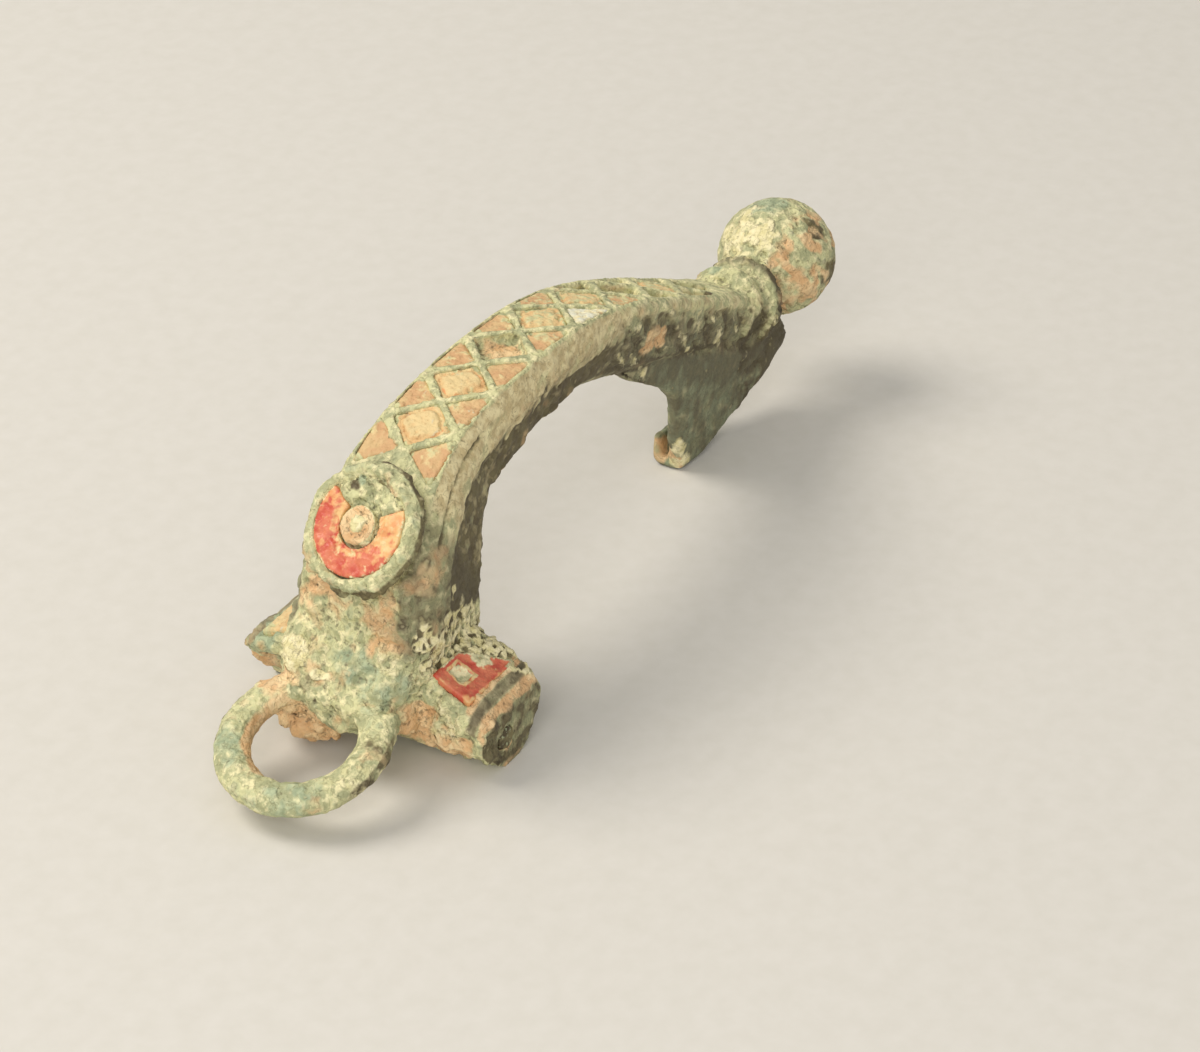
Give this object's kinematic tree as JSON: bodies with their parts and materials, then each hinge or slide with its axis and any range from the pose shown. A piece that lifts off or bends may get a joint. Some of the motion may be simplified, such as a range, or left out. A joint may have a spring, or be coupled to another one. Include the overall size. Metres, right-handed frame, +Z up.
{
  "type": "roman fibula brooch",
  "caption": "Enamelled bow brooch with a round headstud, short wings, a cast head loop, a ball foot knob and a hooked catch plate, worn and patinated, its pin lost.",
  "frame": {"origin": "on the plane that the brooch rests on, under the middle of its whole length and width", "axes": "+X from the head loop to the foot knob, +Z up, +Y to the wing on the left when the brooch is seen from its head"},
  "size_m": [0.0672, 0.0178, 0.0197],
  "materials": {
    "patinated_bronze": "corroded sage-green patina with soil",
    "corroded_bar": "dark mottled corrosion",
    "red_enamel": "worn, pitted",
    "decayed_cream_enamel": "decayed, matt",
    "decayed_peach_enamel": "decayed, matt"
  },
  "bodies": {
    "root": {"brooch_body": "patinated_bronze", "hinge_bar": "corroded_bar", "enamel_stud_ring": "red_enamel", "enamel_wing_right": "red_enamel", "enamel_wing_left": "decayed_cream_enamel", "enamel_lozenge_1": "decayed_cream_enamel", "enamel_lozenge_2": "decayed_cream_enamel", "enamel_lozenge_4": "decayed_cream_enamel", "enamel_lozenge_5": "decayed_cream_enamel", "enamel_lozenge_7": "decayed_cream_enamel", "enamel_triangle_left_1": "decayed_peach_enamel", "enamel_triangle_left_2": "decayed_peach_enamel", "enamel_triangle_left_3": "decayed_peach_enamel", "enamel_triangle_left_4": "decayed_peach_enamel", "enamel_triangle_left_5": "decayed_peach_enamel", "enamel_triangle_right_1": "decayed_peach_enamel", "enamel_triangle_right_2": "decayed_peach_enamel", "enamel_triangle_right_3": "decayed_peach_enamel", "enamel_triangle_right_4": "decayed_peach_enamel", "enamel_triangle_right_5": "decayed_peach_enamel", "enamel_triangle_right_6": "decayed_peach_enamel"}
  },
  "joints": []
}
